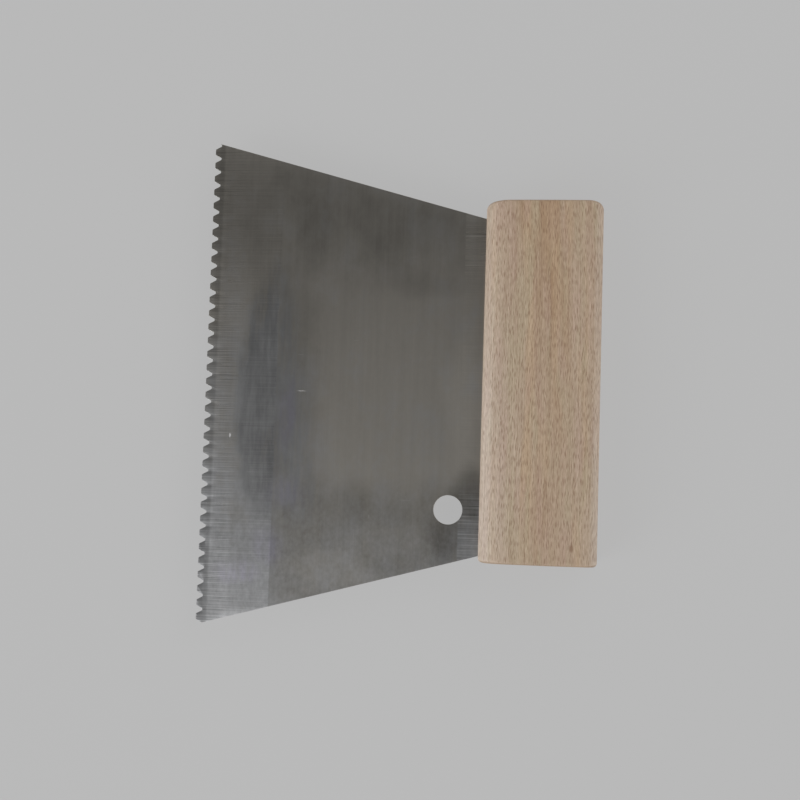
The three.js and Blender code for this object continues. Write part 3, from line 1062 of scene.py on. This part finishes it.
GLUE_DARK = rgb(0.42, 0.31, 0.14)
GLUE_LIGHT = rgb(0.6, 0.48, 0.27)
GLUE_LUMPS = ((1.5 * MM, 1.5 * MM, 1.5 * MM), 3)
GLUE_GLOSS = (0.25, 0.45)
GLUE_RELIEF = 0.1 * MM
WIRE_BRIGHT = rgb(0.5, 0.49, 0.47)
WIRE_SPOTTED = rgb(0.3, 0.24, 0.19)
WIRE_DRAWN = ((0.15 * MM, 0.15 * MM, 4 * MM), 3)
WIRE_SPOTS = ((0.6 * MM, 0.6 * MM, 0.6 * MM), 3)
WIRE_SPOT_SPAN = (0.5, 0.75)
WIRE_GLOSS = (0.28, 0.48)
WIRE_RELIEF = 0.03 * MM
WIRE_DRAWN_RELIEF = 0.4


def dried_glue():
    g = Graph("dried_glue")
    lumps = g.noise(g.place, *GLUE_LUMPS)
    colour = g.mix(g.ramp(lumps, *NOISE_SPAN), GLUE_DARK, GLUE_LIGHT)
    roughness = g.ramp(lumps, *NOISE_SPAN, *GLUE_GLOSS)
    return g.finish(colour, roughness, g.bump(lumps, GLUE_RELIEF), Specular_IOR_Level=0.5)


def brad_wire():
    g = Graph("brad_wire")
    drawn = g.noise(g.place, *WIRE_DRAWN)
    spots = g.noise(g.place, *WIRE_SPOTS)
    colour = g.mix(g.ramp(spots, *WIRE_SPOT_SPAN), WIRE_BRIGHT, WIRE_SPOTTED)
    roughness = g.ramp(drawn, *NOISE_SPAN, *WIRE_GLOSS)
    height = g.add(g.times(drawn, WIRE_DRAWN_RELIEF), spots)
    return g.finish(colour, roughness, g.bump(height, WIRE_RELIEF), Metallic=1.0)


# --- Stage, light and camera ---

FLOOR_SIZE = 8.0
FLOOR_CELLS = 8
FLOOR_TONE = 0.10
FLOOR_GLOW = 0.409
FLOOR_PATCHES = ((0.4, 0.4, 0.4), 2)
FLOOR_UNEVEN = 0.005
FLOOR_ROUGHNESS = 0.9
FLOOR_GLOSS = 0.1
FLOOR_RELIEF = 0.1 * MM
FLOOR_RELIEF_STRENGTH = 0.1


def grey(tone):
    return rgb(tone, tone, tone)


def floor_paint():
    """A light table: part of its tone is its own glow, so that shadows stay faint."""
    g = Graph("floor_paint")
    patches = g.noise(g.place, *FLOOR_PATCHES)
    colour = g.mix(patches, grey(FLOOR_TONE - FLOOR_UNEVEN), grey(FLOOR_TONE + FLOOR_UNEVEN))
    return g.finish(
        colour, FLOOR_ROUGHNESS, g.bump(patches, FLOOR_RELIEF, FLOOR_RELIEF_STRENGTH),
        Specular_IOR_Level=FLOOR_GLOSS, Emission_Color=grey(1), Emission_Strength=FLOOR_GLOW,
    )


def make_floor():
    bm = bmesh.new()
    bmesh.ops.create_grid(bm, x_segments=FLOOR_CELLS, y_segments=FLOOR_CELLS, size=FLOOR_SIZE / 2)
    floor = add_object("floor", mesh_from(bm, "floor"))
    floor.data.materials.append(floor_paint())


def aimed(place, target, upwards=(0, 1, 0)):
    """A matrix that looks from a place to a target."""
    look = (Vector(target) - Vector(place)).normalized()
    side = look.cross(Vector(upwards)).normalized()
    turn = Matrix((side, side.cross(look), -look)).transposed()
    return Matrix.Translation(place) @ turn.to_4x4()


# Square soft boxes: name, place, side, power and colour. All are aimed near the blade's middle.
LIGHTS = (
    ("key", (-0.79, -0.59, 0.74), 0.8, 2.7, (0.97, 0.98, 1.0)),
    ("fill", (0.68, 0.49, 0.82), 0.8, 1.6, (1.0, 0.99, 0.97)),
    ("rim", (-1.5, -1.0, 0.7), 0.9, 4.5, (0.93, 0.96, 1.0)),
)
LIGHT_TARGET = (-0.05, 0, 0)


def make_lights():
    for name, place, side, power, colour in LIGHTS:
        light = bpy.data.lights.new(name, "AREA")
        light.shape = "RECTANGLE"
        light.size = side
        light.size_y = side
        light.energy = power
        light.color = colour
        holder = bpy.data.objects.new(name, light)
        holder.matrix_world = aimed(place, LIGHT_TARGET)
        bpy.context.scene.collection.objects.link(holder)


HORIZON = grey(0.98)
OVERHEAD_SHADE = rgb(0.02, 0.019, 0.018)
OVERHEAD_PALE = grey(0.29)
OVERHEAD_RISE = (0.35, 0.95)
OVERHEAD_SWEEP = (0.2, -0.15)


def smooth_step(tree, value, span):
    node = tree.nodes.new("ShaderNodeMapRange")
    node.interpolation_type = "SMOOTHSTEP"
    node.inputs["From Min"].default_value = span[0]
    node.inputs["From Max"].default_value = span[1]
    tree.links.new(value, node.inputs["Value"])
    return node.outputs[0]


def tone_between(tree, share, first, second):
    node = tree.nodes.new("ShaderNodeMix")
    node.data_type = "RGBA"
    tree.links.new(share, node.inputs[0])
    for socket, value in ((node.inputs[6], first), (node.inputs[7], second)):
        if isinstance(value, bpy.types.NodeSocket):
            tree.links.new(value, socket)
        else:
            socket.default_value = value
    return node.outputs[2]


def make_world():
    """A pale room whose ceiling is darker, most of all towards +Y."""
    world = bpy.data.worlds.new("room")
    world.use_nodes = True
    tree = world.node_tree
    split = tree.nodes.new("ShaderNodeSeparateXYZ")
    tree.links.new(tree.nodes.new("ShaderNodeTexCoord").outputs["Generated"], split.inputs[0])
    sweep = smooth_step(tree, split.outputs["Y"], OVERHEAD_SWEEP)
    ceiling = tone_between(tree, sweep, OVERHEAD_SHADE, OVERHEAD_PALE)
    rise = smooth_step(tree, split.outputs["Z"], OVERHEAD_RISE)
    room = tone_between(tree, rise, HORIZON, ceiling)
    tree.links.new(room, tree.nodes["Background"].inputs["Color"])
    bpy.context.scene.world = world


# The camera hangs over the handle and looks down across the blade, turned a little in the hand.
CAMERA_PLACE = (3.05 * MM, -38.65 * MM, 443.8 * MM)
CAMERA_TARGET = (-49.98 * MM, -7.12 * MM, 10 * MM)
CAMERA_TWIST = math.radians(1.83)
CAMERA_LENS = 55.08
CAMERA_SENSOR = 36.0
CAMERA_NEAR = 0.01


def make_camera():
    data = bpy.data.cameras.new("camera")
    data.lens = CAMERA_LENS
    data.sensor_width = CAMERA_SENSOR
    data.clip_start = CAMERA_NEAR
    camera = bpy.data.objects.new("camera", data)
    camera.matrix_world = aimed(CAMERA_PLACE, CAMERA_TARGET) @ Matrix.Rotation(CAMERA_TWIST, 4, "Z")
    bpy.context.scene.collection.objects.link(camera)
    bpy.context.scene.camera = camera


# --- Assembly ---

make_camera()
make_world()
make_lights()
make_floor()
make_blade(blade_steel())
make_handle(beech())
wire = brad_wire()
for brad in BRADS:
    make_brad(brad, wire)
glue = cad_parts["slot_adhesive"]
glue.data.materials.clear()
glue.data.materials.append(dried_glue())
bpy.context.scene.view_settings.view_transform = "Standard"
